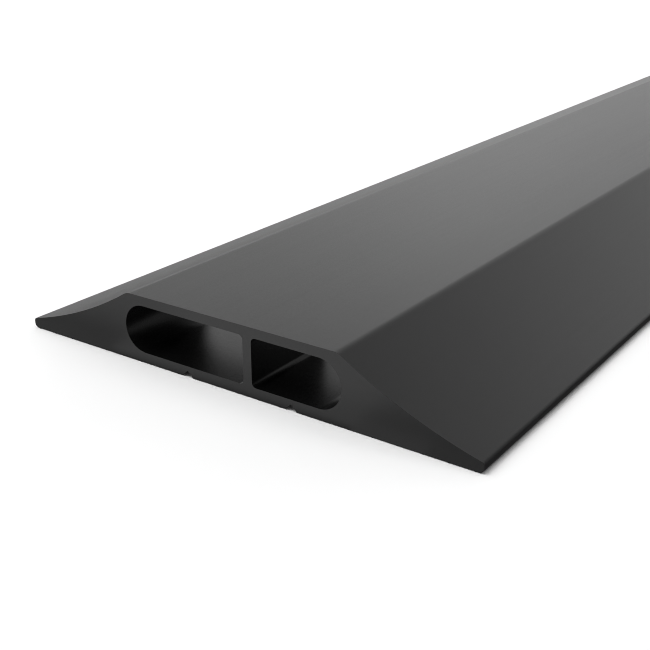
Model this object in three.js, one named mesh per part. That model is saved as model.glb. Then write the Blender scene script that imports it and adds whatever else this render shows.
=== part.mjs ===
// Floor cord cover: one length of soft black extruded profile.
// A low ramp section with a flat top, two concave flanks, and two closed
// channels for cords side by side. The underside has fine anti-slip ribs and a
// shallow V groove below each channel. One extrusion, so it is one solid.
//
// Millimetres, +Z up. X runs across the section, Y along the length.
// Origin: centre of the footprint, on the plane that the rib crests rest on.

import * as THREE from 'three';

// ---------------------------------------------------------------- dimensions
const LENGTH = 1000;            // sold length, along Y
const HALF_WIDTH = 43.2;        // half of the overall width

const RIB_HEIGHT = 0.1;         // anti-slip ribs stand this far below the base
const RIB_PITCH = 4;
const RIB_FIRST_X = -42;
const RIB_COUNT = 22;
const RIB_BASE = 0.5;           // width where a rib leaves the base
const RIB_CREST = 0.16;         // width of its flat crest

const FLOOR = 1.75;             // wall under the channels
const CHANNEL_HEIGHT = 8;       // both channels
const ROOF = 1.6;               // wall over the channels
const BASE_Z = RIB_HEIGHT;      // underside between the ribs
const TOP_Z = BASE_Z + FLOOR + CHANNEL_HEIGHT + ROOF;

const WIDE_LEFT = -20.8;        // wide channel, 24 x 8, round at its outer end
const WIDE_RIGHT = 3.2;
const NARROW_LEFT = 4.8;        // narrow channel, 16 x 8, round at its outer end
const NARROW_RIGHT = 20.8;
const WEB_CORNER = 0.8;         // corner radius at the web between the channels

const FLANK_R = 79;             // concave flank: an arc seen in section
const FLANK_X = 62.06;          // its centre's distance from the middle
const FLANK_Z = BASE_Z + 78.32; // its centre's height
const RIDGE_R = 2.5;            // rounding between flank and flat top
const TOE_TOP_R = 0.6;          // rounding of the toe's upper edge
const TOE_BOTTOM_R = 0.9;       // rounding of the toe's lower edge

const GROOVES_X = [-8, 12];     // V grooves in the underside
const GROOVE_HALF = 1.0;        // half width at the mouth, sides at 45 degrees
const GROOVE_MOUTH_R = 0.3;     // rounded mouth edges
const GROOVE_APEX_R = 0.15;     // rounded apex

const COLOR = 0x1d1d1e;

// ------------------------------------------------------------ point helpers
// Points of a circular arc, both ends included. Angles in radians.
function arc(cx, cz, r, a0, a1, n) {
  const pts = [];
  for (let i = 0; i <= n; i++) {
    const a = a0 + ((a1 - a0) * i) / n;
    pts.push([cx + r * Math.cos(a), cz + r * Math.sin(a)]);
  }
  return pts;
}

// Left half of the outer outline above the base, from the toe's lower edge up
// to the flat top, as [x, z] pairs in order.
function leftFlank() {
  const out = [];
  const cx = -FLANK_X;
  const cz = FLANK_Z;

  // lower edge of the toe: from the base line round to the vertical nose
  out.push(...arc(-HALF_WIDTH + TOE_BOTTOM_R, BASE_Z + TOE_BOTTOM_R,
    TOE_BOTTOM_R, -Math.PI / 2, -Math.PI, 6));

  // upper edge of the toe: tangent to the nose and to the flank arc
  const tx = -HALF_WIDTH + TOE_TOP_R;
  const tz = cz - Math.sqrt((FLANK_R + TOE_TOP_R) ** 2 - (tx - cx) ** 2);
  const toeAngle = Math.atan2(tz - cz, tx - cx);        // from flank centre
  out.push(...arc(tx, tz, TOE_TOP_R, Math.PI, toeAngle + Math.PI, 6));

  // ridge: tangent to the flank arc and to the flat top
  const rz = TOP_Z - RIDGE_R;
  const rx = cx + Math.sqrt((FLANK_R + RIDGE_R) ** 2 - (rz - cz) ** 2);
  const ridgeAngle = Math.atan2(rz - cz, rx - cx);

  // concave flank between the two tangent points
  out.push(...arc(cx, cz, FLANK_R, toeAngle, ridgeAngle, 22).slice(1, -1));
  out.push(...arc(rx, rz, RIDGE_R, ridgeAngle + Math.PI, Math.PI / 2, 8));
  return out;
}

// One V groove in the underside, centred on x, from its left mouth edge to its
// right one.
function groove(x) {
  const t = GROOVE_MOUTH_R * Math.tan(Math.PI / 8);
  const left = -GROOVE_HALF - t;                        // tangent on the base
  const mouth = arc(left, BASE_Z + GROOVE_MOUTH_R, GROOVE_MOUTH_R,
    -Math.PI / 2, -Math.PI / 4, 3);
  const apexZ = BASE_Z + GROOVE_HALF - GROOVE_APEX_R * Math.SQRT2;
  const apex = arc(0, apexZ, GROOVE_APEX_R, (3 * Math.PI) / 4, Math.PI / 4, 4);
  const right = mouth.map(([px, pz]) => [-px, pz]).reverse();
  return [...mouth, ...apex, ...right].map(([px, pz]) => [x + px, pz]);
}

// One anti-slip rib, from its left foot to its right one.
function rib(x) {
  return [
    [x - RIB_BASE / 2, BASE_Z],
    [x - RIB_CREST / 2, 0],
    [x + RIB_CREST / 2, 0],
    [x + RIB_BASE / 2, BASE_Z],
  ];
}

// Underside from left to right: ribs with the grooves between them.
function underside() {
  const features = [];
  for (let i = 0; i < RIB_COUNT; i++) {
    const x = RIB_FIRST_X + i * RIB_PITCH;
    features.push({ x, pts: rib(x) });
  }
  for (const x of GROOVES_X) features.push({ x, pts: groove(x) });
  features.sort((a, b) => a.x - b.x);
  return features.flatMap((f) => f.pts);
}

// ------------------------------------------------------------------ section
const left = leftFlank();
const right = left.map(([x, z]) => [-x, z]);

// counter-clockwise outline: underside, up the right flank, down the left one
const outline = [];
for (const p of [...underside(), ...right, ...left.slice().reverse()]) {
  const last = outline[outline.length - 1];
  if (last && Math.hypot(last[0] - p[0], last[1] - p[1]) < 1e-6) continue;
  outline.push(p);
}

const section = new THREE.Shape(outline.map(([x, z]) => new THREE.Vector2(x, z)));

const z0 = BASE_Z + FLOOR;
const z1 = z0 + CHANNEL_HEIGHT;
const zm = (z0 + z1) / 2;
const rEnd = CHANNEL_HEIGHT / 2;

// channel whose round end is on the left and whose web side is on the right
function channel(xRound, xWeb, mirror) {
  const pts = [
    ...arc(xRound + rEnd, zm, rEnd, Math.PI / 2, (3 * Math.PI) / 2, 24),
    ...arc(xWeb - WEB_CORNER, z0 + WEB_CORNER, WEB_CORNER, -Math.PI / 2, 0, 6),
    ...arc(xWeb - WEB_CORNER, z1 - WEB_CORNER, WEB_CORNER, 0, Math.PI / 2, 6),
  ];
  return new THREE.Path(pts.map(([x, z]) => new THREE.Vector2(mirror ? -x : x, z)));
}
section.holes.push(channel(WIDE_LEFT, WIDE_RIGHT, false));
section.holes.push(channel(-NARROW_RIGHT, -NARROW_LEFT, true));

// ---------------------------------------------------------------- extrusion
const geometry = new THREE.ExtrudeGeometry(section, {
  depth: LENGTH,
  steps: 1,
  bevelEnabled: false,
});
geometry.rotateX(Math.PI / 2);            // section upright, length along -Y
geometry.translate(0, LENGTH / 2, 0);     // centred on the length

const cover = new THREE.Mesh(
  geometry,
  new THREE.MeshStandardMaterial({ color: COLOR, roughness: 0.6, metalness: 0 }),
);
cover.name = 'cord_cover';

const part = new THREE.Group();
part.add(cover);

export default part;
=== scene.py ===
"""Floor cord cover: one length of soft black extruded profile, lying on a pale floor.

The visible mesh has the CAD section, drawn with finer arcs, rounded ribs and a slight
softness on the edges of the cut ends. Lengths below are millimetres until they are
scaled to metres by MM.
"""
import math

import bpy
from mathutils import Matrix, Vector
from mathutils.geometry import tessellate_polygon


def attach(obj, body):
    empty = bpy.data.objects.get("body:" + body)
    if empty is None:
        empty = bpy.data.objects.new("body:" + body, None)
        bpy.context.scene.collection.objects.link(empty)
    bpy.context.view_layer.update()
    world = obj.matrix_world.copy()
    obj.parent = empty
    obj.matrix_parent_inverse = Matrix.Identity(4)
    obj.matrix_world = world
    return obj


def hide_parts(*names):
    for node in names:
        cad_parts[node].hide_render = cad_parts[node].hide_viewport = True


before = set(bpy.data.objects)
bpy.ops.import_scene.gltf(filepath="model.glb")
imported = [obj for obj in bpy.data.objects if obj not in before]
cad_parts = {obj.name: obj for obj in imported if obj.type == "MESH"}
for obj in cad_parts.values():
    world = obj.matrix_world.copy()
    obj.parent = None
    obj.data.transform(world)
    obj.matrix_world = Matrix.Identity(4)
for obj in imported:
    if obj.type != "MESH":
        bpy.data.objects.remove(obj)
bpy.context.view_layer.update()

MM = 0.001

# ------------------------------------------------------------------ dimensions
LENGTH = 1000.0
HALF_WIDTH = 43.2

RIB_HEIGHT = 0.1
RIB_PITCH = 4.0
RIB_FIRST_X = -42.0
RIB_COUNT = 22
RIB_BASE = 0.56

FLOOR = 1.75
CHANNEL_HEIGHT = 8.0
ROOF = 1.6
BASE_Z = RIB_HEIGHT
TOP_Z = BASE_Z + FLOOR + CHANNEL_HEIGHT + ROOF

WIDE_LEFT, WIDE_RIGHT = -20.8, 3.2
NARROW_LEFT, NARROW_RIGHT = 4.8, 20.8
WEB_CORNER = 0.8

FLANK_R = 79.0
FLANK_X = 62.06
FLANK_Z = BASE_Z + 78.32
RIDGE_R = 2.5
TOE_TOP_R = 0.6
TOE_BOTTOM_R = 0.75

GROOVES_X = (-8.0, 12.0)
GROOVE_HALF = 1.0
GROOVE_MOUTH_R = 0.12
GROOVE_APEX_R = 0.15

EDGE_R = 0.03            # softness of the cut edges at both ends
STEPS = 50               # rings along the length

# ------------------------------------------------------------------- finish
IOR = 1.42
# specular level, mean roughness, strength of the grain, darkest and lightest tone
OUTSIDE = (0.5, 0.42, 0.25, 0.0024, 0.0036)
WALLS_PAINTED_SHADE = (0.5, 0.29, 0.08, 0.0012, 0.0018)       # channel walls: smoother, and darker in tone as painted shade inside the channels
GROOVES = (0.1, 0.5, 0.25, 0.0012, 0.0018)      # darker tone and weak specular: painted shade in the V grooves


# --------------------------------------------------------------------- section
# A run is a list of (x, z, nx, nz): a stretch of the section with its own exact
# normals, which point out of the material. Runs that meet smoothly share a normal.
def arc(cx, cz, r, a0, a1, n, out=1.0):
    """out is 1 where the material is inside the arc, -1 where it is outside."""
    run = []
    for i in range(n + 1):
        a = a0 + (a1 - a0) * i / n
        run.append((cx + r * math.cos(a), cz + r * math.sin(a), out * math.cos(a), out * math.sin(a)))
    return run


def line(x0, z0, x1, z1, step=3.0):
    """Material lies to the left of the direction of travel."""
    length = math.hypot(x1 - x0, z1 - z0)
    if length < 1e-6:
        return []
    nx, nz = (z1 - z0) / length, -(x1 - x0) / length
    n = max(1, round(length / step))
    return [(x0 + (x1 - x0) * i / n, z0 + (z1 - z0) * i / n, nx, nz) for i in range(n + 1)]


def rib(x):
    """A rounded rib, from its left foot to its right one."""
    run, n, half = [], 10, RIB_BASE / 2
    for i in range(n + 1):
        t = -half + RIB_BASE * i / n
        z = BASE_Z - RIB_HEIGHT * 0.5 * (1 + math.cos(math.pi * t / half))
        slope = RIB_HEIGHT * 0.5 * math.pi / half * math.sin(math.pi * t / half)
        k = math.hypot(slope, 1)
        run.append((x + t, z, slope / k, -1 / k))
    return run


def groove(x):
    """A V groove with rounded mouth edges and apex, left to right."""
    t = GROOVE_MOUTH_R * math.tan(math.pi / 8)
    left = x - GROOVE_HALF - t
    right = x + GROOVE_HALF + t
    apex_z = BASE_Z + GROOVE_HALF - GROOVE_APEX_R * math.sqrt(2)
    a = arc(left, BASE_Z + GROOVE_MOUTH_R, GROOVE_MOUTH_R, -math.pi / 2, -math.pi / 4, 5)
    c = arc(x, apex_z, GROOVE_APEX_R, 3 * math.pi / 4, math.pi / 4, 6, out=-1.0)
    e = arc(right, BASE_Z + GROOVE_MOUTH_R, GROOVE_MOUTH_R, -3 * math.pi / 4, -math.pi / 2, 5)
    b = line(*a[-1][:2], *c[0][:2])
    d = line(*c[-1][:2], *e[0][:2])
    return [a, b, c, d, e]


def outer():
    """The outer outline, anticlockwise as seen from the front cut end, as a list of
    (run, material number): 2 for the grooves, 0 for the rest."""
    features = [(RIB_FIRST_X + i * RIB_PITCH, None) for i in range(RIB_COUNT)]
    features += [(x, "groove") for x in GROOVES_X]
    runs = []
    x_end = -HALF_WIDTH + TOE_BOTTOM_R
    for x, kind in sorted(features, key=lambda f: f[0]):
        new = groove(x) if kind else [rib(x)]
        if new[0][0][0] - x_end > 1e-4:
            runs.append((line(x_end, BASE_Z, new[0][0][0], BASE_Z, step=5.0), 0))
        runs += [(run, 2 if kind else 0) for run in new]
        x_end = new[-1][-1][0]
    if HALF_WIDTH - TOE_BOTTOM_R - x_end > 1e-4:
        runs.append((line(x_end, BASE_Z, HALF_WIDTH - TOE_BOTTOM_R, BASE_Z, step=5.0), 0))

    # right side, from the base up to the flat top
    cx, cz = FLANK_X, FLANK_Z
    side = [arc(HALF_WIDTH - TOE_BOTTOM_R, BASE_Z + TOE_BOTTOM_R, TOE_BOTTOM_R, -math.pi / 2, 0, 12)]
    tx = HALF_WIDTH - TOE_TOP_R
    tz = cz - math.sqrt((FLANK_R + TOE_TOP_R) ** 2 - (tx - cx) ** 2)
    toe = math.atan2(tz - cz, tx - cx)
    rz = TOP_Z - RIDGE_R
    rx = cx - math.sqrt((FLANK_R + RIDGE_R) ** 2 - (rz - cz) ** 2)
    ridge = math.atan2(rz - cz, rx - cx)
    side.append(line(HALF_WIDTH, BASE_Z + TOE_BOTTOM_R, HALF_WIDTH, tz))
    side.append(arc(tx, tz, TOE_TOP_R, 0, toe + math.pi, 10))
    side.append(arc(cx, cz, FLANK_R, toe, ridge, 30, out=-1.0))
    side.append(arc(rx, rz, RIDGE_R, ridge + math.pi, math.pi / 2, 12))
    top = [line(rx, TOP_Z, -rx, TOP_Z)]
    left = [[(-x, z, -nx, nz) for x, z, nx, nz in reversed(run)] for run in reversed(side)]
    runs += [(run, 0) for run in side + top + left]
    return [(run, kind) for run, kind in runs if len(run) > 1]


def channel(x_round, x_web, mirror):
    """A channel's wall, clockwise, so that the material stays on the left. Its material
    number is 1."""
    z0 = BASE_Z + FLOOR
    z1 = z0 + CHANNEL_HEIGHT
    zm, r, k = (z0 + z1) / 2, CHANNEL_HEIGHT / 2, WEB_CORNER
    runs = [
        arc(x_round + r, zm, r, 3 * math.pi / 2, math.pi / 2, 40, out=-1.0),
        line(x_round + r, z1, x_web - k, z1),
        arc(x_web - k, z1 - k, k, math.pi / 2, 0, 10, out=-1.0),
        line(x_web, z1 - k, x_web, z0 + k, step=10.0),
        arc(x_web - k, z0 + k, k, 0, -math.pi / 2, 10, out=-1.0),
        line(x_web - k, z0, x_round + r, z0),
    ]
    if mirror:
        runs = [[(-x, z, -nx, nz) for x, z, nx, nz in reversed(run)] for run in reversed(runs)]
    return [(run, 1) for run in runs]


# ------------------------------------------------------------------------ mesh
def bent(x, z):
    """The place (x, z) with the section's four level lines bent 0.4 mm into the
    material. The cut ends are divided into triangles in this form, so that no triangle
    has all three corners on one level line."""
    levels = ((BASE_Z, 1), (BASE_Z + FLOOR, -1), (BASE_Z + FLOOR + CHANNEL_HEIGHT, 1), (TOP_Z, -1))
    bend = 1.0
    for (z0, b0), (z1, b1) in zip(levels, levels[1:]):
        if z > z0:
            bend = b0 + (b1 - b0) * (z - z0) / (z1 - z0)
    return Vector((x, z + 0.4 * bend * (1 - (x / HALF_WIDTH) ** 2), 0))


def make_cover(name):
    verts, faces, normals, kinds = [], [], [], []
    caps = {-1: [], 1: []}

    for runs in (outer(), channel(WIDE_LEFT, WIDE_RIGHT, False), channel(-NARROW_RIGHT, -NARROW_LEFT, True)):
        # one vertex a place; sharp corners keep both of their normals
        pts, segs, made_of = [], [], []
        for run, kind in runs:
            for p, q in zip(run, run[1:]):
                segs.append((p, q))
                pts.append(p)
                made_of.append(kind)
        n = len(pts)
        # corner normals for the inset of the edge softness
        miter = []
        for i in range(n):
            a, b = segs[i - 1][1], segs[i][0]
            mx, mz = a[2] + b[2], a[3] + b[3]
            k = math.hypot(mx, mz)
            mx, mz = mx / k, mz / k
            miter.append((mx, mz, min(1.3, 1 / max(0.3, mx * b[2] + mz * b[3]))))

        # rings from the front end to the back end: (inset, y, normal tilt towards the end)
        rings = [(EDGE_R * (1 - math.cos(a)), -LENGTH / 2 + EDGE_R * (1 - math.sin(a)), a, -1)
                 for a in (math.pi / 2 * i / 3 for i in (3, 2, 1, 0))]
        for i in range(1, STEPS):
            rings.append((0.0, -LENGTH / 2 + LENGTH * i / STEPS, 0.0, 1))
        rings += [(EDGE_R * (1 - math.cos(a)), LENGTH / 2 - EDGE_R * (1 - math.sin(a)), a, 1)
                  for a in (math.pi / 2 * i / 3 for i in (0, 1, 2, 3))]

        first = len(verts)
        for inset, y, a, end in rings:
            for i in range(n):
                mx, mz, k = miter[i]
                verts.append(((pts[i][0] - mx * inset * k) * MM, y * MM, (pts[i][1] - mz * inset * k) * MM))
        for r in range(len(rings) - 1):
            for i in range(n):
                j = (i + 1) % n
                p, q = segs[i]
                lo, hi = first + r * n, first + (r + 1) * n
                faces.append((lo + i, hi + i, hi + j, lo + j))
                kinds.append(made_of[i])
                for s, ring in ((p, rings[r]), (p, rings[r + 1]), (q, rings[r + 1]), (q, rings[r])):
                    c, e = math.cos(ring[2]), math.sin(ring[2]) * ring[3]
                    normals.append((s[2] * c, e, s[3] * c))
        caps[-1].append(list(range(first, first + n)))
        last = first + (len(rings) - 1) * n
        caps[1].append(list(range(last, last + n)))

    for end, loops in caps.items():
        order = [v for loop in loops for v in loop]
        polys = [[bent(verts[v][0] / MM, verts[v][2] / MM) for v in loop] for loop in loops]
        for t in tessellate_polygon(polys):
            a, b, c = (order[k] for k in t)
            # winding: the front end faces -Y, the back end +Y
            ux, uz = verts[b][0] - verts[a][0], verts[b][2] - verts[a][2]
            vx, vz = verts[c][0] - verts[a][0], verts[c][2] - verts[a][2]
            y_normal = uz * vx - ux * vz
            if (y_normal > 0) != (end > 0):
                b, c = c, b
            faces.append((a, b, c))
            kinds.append(0)
            normals += [(0.0, float(end), 0.0)] * 3

    me = bpy.data.meshes.new(name)
    me.from_pydata(verts, [], faces)
    me.update()
    for p, kind in zip(me.polygons, kinds):
        p.use_smooth = True
        p.material_index = kind
    me.normals_split_custom_set(normals)
    obj = bpy.data.objects.new(name, me)
    bpy.context.scene.collection.objects.link(obj)
    return obj


# ------------------------------------------------------------------- materials
def soft_pvc(name, specular, roughness, grain_strength, dark, light):
    """Matte black flexible extrusion: fine grain, very faint die lines along Y, slight
    variation in tone and gloss."""
    mat = bpy.data.materials.new(name)
    mat.use_nodes = True
    nt = mat.node_tree
    nt.nodes.clear()
    new = nt.nodes.new
    link = nt.links.new

    out = new("ShaderNodeOutputMaterial")
    bsdf = new("ShaderNodeBsdfPrincipled")
    link(bsdf.outputs[0], out.inputs[0])
    bsdf.inputs["IOR"].default_value = IOR
    bsdf.inputs["Specular IOR Level"].default_value = specular

    coord = new("ShaderNodeTexCoord")
    mm = new("ShaderNodeMapping")                    # object space in millimetres
    mm.inputs["Scale"].default_value = (1000, 1000, 1000)
    link(coord.outputs["Object"], mm.inputs["Vector"])

    streak = new("ShaderNodeMapping")                # stretched along the extrusion
    streak.inputs["Scale"].default_value = (1.0, 0.006, 1.0)
    link(mm.outputs[0], streak.inputs["Vector"])

    grain = new("ShaderNodeTexNoise")                # fine even grain
    grain.inputs["Scale"].default_value = 5.0
    grain.inputs["Detail"].default_value = 3.0
    grain.inputs["Roughness"].default_value = 0.6
    link(mm.outputs[0], grain.inputs["Vector"])

    die = new("ShaderNodeTexNoise")                  # faint die lines
    die.inputs["Scale"].default_value = 1.6
    die.inputs["Detail"].default_value = 4.0
    die.inputs["Roughness"].default_value = 0.7
    link(streak.outputs[0], die.inputs["Vector"])

    cloud = new("ShaderNodeTexNoise")                # slow change of tone
    cloud.inputs["Scale"].default_value = 0.035
    cloud.inputs["Detail"].default_value = 3.0
    link(mm.outputs[0], cloud.inputs["Vector"])

    tone = new("ShaderNodeMapRange")
    tone.inputs["From Min"].default_value = 0.3
    tone.inputs["From Max"].default_value = 0.7
    link(cloud.outputs["Fac"], tone.inputs["Value"])
    mix = new("ShaderNodeMix")
    mix.data_type = "RGBA"
    mix.inputs[6].default_value = (dark, dark, dark * 1.03, 1)
    mix.inputs[7].default_value = (light, light, light * 1.03, 1)
    link(tone.outputs[0], mix.inputs[0])
    link(mix.outputs[2], bsdf.inputs["Base Color"])

    # gloss: grain everywhere, die lines only a trace
    less = new("ShaderNodeMath")
    less.operation = "MULTIPLY_ADD"
    less.inputs[1].default_value = 0.25
    link(die.outputs["Fac"], less.inputs[0])
    link(grain.outputs["Fac"], less.inputs[2])
    rough = new("ShaderNodeMapRange")
    rough.inputs["From Min"].default_value = 0.375
    rough.inputs["From Max"].default_value = 0.875
    rough.inputs["To Min"].default_value = roughness - 0.04
    rough.inputs["To Max"].default_value = roughness + 0.04
    link(less.outputs[0], rough.inputs["Value"])
    link(rough.outputs[0], bsdf.inputs["Roughness"])

    b1 = new("ShaderNodeBump")
    b1.inputs["Strength"].default_value = grain_strength
    b1.inputs["Distance"].default_value = 0.00003
    link(grain.outputs["Fac"], b1.inputs["Height"])
    b2 = new("ShaderNodeBump")
    b2.inputs["Strength"].default_value = 0.03
    b2.inputs["Distance"].default_value = 0.00003
    link(die.outputs["Fac"], b2.inputs["Height"])
    link(b1.outputs[0], b2.inputs["Normal"])
    link(b2.outputs[0], bsdf.inputs["Normal"])
    return mat


def floor_material():
    """Plain and pale. Half a metre and more from the object it also glows, which evens
    out the fall-off of the light there."""
    mat = bpy.data.materials.new("pale_floor")
    mat.use_nodes = True
    nt = mat.node_tree
    b = nt.nodes["Principled BSDF"]
    b.inputs["Base Color"].default_value = (0.90, 0.90, 0.90, 1)
    b.inputs["Roughness"].default_value = 0.9
    b.inputs["Specular IOR Level"].default_value = 0.0
    b.inputs["Emission Color"].default_value = (1, 1, 1, 1)
    coord = nt.nodes.new("ShaderNodeTexCoord")
    oval = nt.nodes.new("ShaderNodeMapping")
    oval.inputs["Scale"].default_value = (1 / 0.45, 1 / 0.9, 0)
    nt.links.new(coord.outputs["Object"], oval.inputs["Vector"])
    far = nt.nodes.new("ShaderNodeVectorMath")
    far.operation = "LENGTH"
    nt.links.new(oval.outputs[0], far.inputs[0])
    glow = nt.nodes.new("ShaderNodeMapRange")
    glow.inputs["From Min"].default_value = 1.0
    glow.inputs["From Max"].default_value = 2.0
    glow.inputs["To Min"].default_value = 0.0
    glow.inputs["To Max"].default_value = 0.4
    nt.links.new(far.outputs["Value"], glow.inputs["Value"])
    nt.links.new(glow.outputs[0], b.inputs["Emission Strength"])
    return mat


# ---------------------------------------------------------------------- camera
scene = bpy.context.scene
cam_data = bpy.data.cameras.new("camera")
cam_data.lens = 58.08
cam_data.sensor_width = 36.0
cam_data.clip_start = 0.01
cam_data.clip_end = 50.0
cam = bpy.data.objects.new("camera", cam_data)
cam.location = (94.15 * MM, (-LENGTH / 2 - 108.30) * MM, (69.97 + BASE_Z) * MM)
cam.rotation_euler = (math.radians(90 - 22.58), 0, math.radians(35.10))
scene.collection.objects.link(cam)
scene.camera = cam

# ---------------------------------------------------------------------- object
cover = make_cover("cord_cover_profile")
cover.data.materials.append(soft_pvc("soft_pvc_outside", *OUTSIDE))
# the channel walls' darker tone is painted shade inside the channels
cover.data.materials.append(soft_pvc("soft_pvc_walls_painted_shade", *WALLS_PAINTED_SHADE))
# the grooves' darker tone and weak specular are painted shade in them
cover.data.materials.append(soft_pvc("soft_pvc_grooves_painted_shade", *GROOVES))
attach(cover, "root")
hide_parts("cord_cover")

# ----------------------------------------------------------------------- floor
FLOOR_HALF = 25.0
me = bpy.data.meshes.new("floor")
me.from_pydata([(-FLOOR_HALF, -FLOOR_HALF, 0), (FLOOR_HALF, -FLOOR_HALF, 0),
                (FLOOR_HALF, FLOOR_HALF, 0), (-FLOOR_HALF, FLOOR_HALF, 0)], [], [(0, 1, 2, 3)])
floor = bpy.data.objects.new("floor", me)
floor.data.materials.append(floor_material())
floor.visible_glossy = False         # the strips below stand for it in reflections
scene.collection.objects.link(floor)


def backdrop_material():
    mat = bpy.data.materials.new("white_backdrop")
    mat.use_nodes = True
    nt = mat.node_tree
    nt.nodes.clear()
    glow = nt.nodes.new("ShaderNodeEmission")
    glow.inputs["Color"].default_value = (1, 1, 1, 1)
    glow.inputs["Strength"].default_value = 1.0
    nt.links.new(glow.outputs[0], nt.nodes.new("ShaderNodeOutputMaterial").inputs[0])
    return mat


# a round white wall that only the camera sees, so that low views end in white
me = bpy.data.meshes.new("backdrop")
ring = [(math.cos(math.tau * i / 96), math.sin(math.tau * i / 96)) for i in range(96)]
me.from_pydata([(9 * x, 9 * y, z) for z in (0.0, 12.0) for x, y in ring], [],
               [(i, (i + 1) % 96, 96 + (i + 1) % 96, 96 + i) for i in range(96)])
backdrop = bpy.data.objects.new("backdrop", me)
backdrop.data.materials.append(backdrop_material())
backdrop.visible_diffuse = False
backdrop.visible_glossy = False
backdrop.visible_transmission = False
backdrop.visible_volume_scatter = False
backdrop.visible_shadow = False
scene.collection.objects.link(backdrop)

# ----------------------------------------------------------------------- light
world = bpy.data.worlds.new("studio")
world.use_nodes = True
world.node_tree.nodes["Background"].inputs["Color"].default_value = (1, 1, 1, 1)
world.node_tree.nodes["Background"].inputs["Strength"].default_value = 0.1
scene.world = world


def area_light(name, size_x, size_y, radiance, location, rotation):
    """A one-sided rectangle of even radiance that the camera doesn't see."""
    data = bpy.data.lights.new(name, "AREA")
    data.shape = "RECTANGLE"
    data.size, data.size_y = size_x, size_y
    data.energy = size_x * size_y * math.pi * radiance
    light = bpy.data.objects.new(name, data)
    light.location = location
    light.rotation_mode = "QUATERNION"
    light.rotation_quaternion = rotation
    light.visible_camera = False
    scene.collection.objects.link(light)


def softbox(name, target, distance, azimuth, elevation, half_width, half_height, radiance):
    """A light that faces target. Azimuth 0 is behind the cut end (+Y), 90 to its right
    (+X). The half sizes are angles, the width's measured round the vertical."""
    a, e = math.radians(azimuth), math.radians(elevation)
    towards = Vector((math.sin(a) * math.cos(e), math.cos(a) * math.cos(e), math.sin(e)))
    area_light(name, 2 * distance * math.tan(math.radians(half_width)) * math.cos(e),
               2 * distance * math.tan(math.radians(half_height)), radiance,
               Vector(target) + towards * distance, (-towards).to_track_quat("-Z", "Y"))


SURROUND_AT = (0.0, -0.45, 0.0)
SURROUND = (                 # azimuth, elevation, half width, half height, radiance
    (0, 9, 22.5, 8.5, 1.05),
    (45, 9, 22.5, 8.5, 0.34),
    (90, 9, 22.5, 8.5, 1.78),
    (180, 9, 22.5, 8.5, 1.62),
    (225, 9, 22.5, 8.5, 1.67),
    (315, 9, 22.5, 8.5, 1.55),
    (0, 28, 22.5, 10, 1.01),
    (225, 28, 22.5, 10, 0.25),
    (270, 28, 22.5, 10, 0.83),
    (315, 28, 22.5, 10, 0.63),
    (45, 48, 22.5, 10, 1.18),
    (225, 48, 22.5, 10, 2.45),
    (270, 48, 22.5, 10, 1.82),
    (315, 48, 22.5, 10, 0.49),
    (45, 70, 45, 12, 0.14),
    (135, 70, 45, 12, 1.50),
    (225, 70, 45, 12, 5.30),
    (315, 70, 45, 12, 0.99),
    (328, 18, 5, 4, 0.50),   # the sheen that grows along the flat top
    (335, 22, 5, 4, 1.40),
    (342, 10, 5, 4, 0.60),
)
for i, (az, el, hw, hh, power) in enumerate(SURROUND):
    softbox("surround_%d" % i, SURROUND_AT, 10.0, az, el, hw, hh, power)

# light from the floor before each cut end: strips that lie on it and face up, each over
# one range of distances and one stretch of the width (mm)
STRIPS = (                   # near, far, left, right, radiance
    (0.1, 1, -26, 22, 0.30),
    (1, 4, -26, 22, 0.80),
    (4, 9, -26, 22, 0.70),
    (9, 18, -26, 22, 1.45),
    (0.1, 4, -60, -26, 0.40),
    (4, 9, -60, -26, 0.15),
    (9, 18, -60, -26, 0.85),
    (0.1, 4, 22, 34, 0.62),
    (0.1, 4, 34, 60, 0.45),
    (4, 9, 22, 60, 0.15),
    (9, 18, 22, 60, 0.85),
    (18, 40, -250, 250, 1.29),
    (40, 150, -250, 250, 0.68),
)
for end in (-1, 1):
    for i, (near, far, left, right, power) in enumerate(STRIPS):
        area_light("bounce_%s_%d" % ("front" if end < 0 else "back", i), (right - left) * MM, (far - near) * MM,
                   power, Vector((-end * (left + right) / 2, end * (LENGTH / 2 + (near + far) / 2), 0.05)) * MM,
                   Vector((0, 0, 1)).to_track_quat("-Z", "Y"))

# the soft glow on the channel walls just inside the front cut end: in each channel a
# screen that faces out, and a row of upright slats that face +X, edge on to a view from
# straight in front
SLAT_PITCH = 1.0
SLAT = 1.43              # covers one pitch as seen from 35 degrees to the side
SLAT_DEPTH = 19.7
GLOW = (                 # left, right, depth and radiance of the screen, radiance of the slats
    ("wide", WIDE_LEFT, WIDE_RIGHT, 18.1, 0.33, 0.41),
    ("narrow", NARROW_LEFT, NARROW_RIGHT, 18.8, 0.52, 0.12),
)
for name, x0, x1, depth, screen, slats in GLOW:
    mid_z = BASE_Z + FLOOR + CHANNEL_HEIGHT / 2
    area_light("glow_%s" % name, (x1 - x0) * MM, CHANNEL_HEIGHT * MM, screen,
               Vector(((x0 + x1) / 2, -LENGTH / 2 + depth, mid_z)) * MM,
               Vector((0, -1, 0)).to_track_quat("-Z", "Y"))
    for i in range(round((x1 - x0) / SLAT_PITCH)):
        area_light("glow_%s_slat_%d" % (name, i), SLAT * MM, CHANNEL_HEIGHT * MM, slats,
                   Vector((x0 + SLAT_PITCH * (i + 0.5), -LENGTH / 2 + SLAT_DEPTH, mid_z)) * MM,
                   Vector((1, 0, 0)).to_track_quat("-Z", "Y"))

scene.cycles.filter_width = 1.0      # crisp edges, as in the photo
scene.view_settings.view_transform = "Standard"
scene.view_settings.look = "None"
scene.view_settings.exposure = 0.0
scene.view_settings.gamma = 1.0
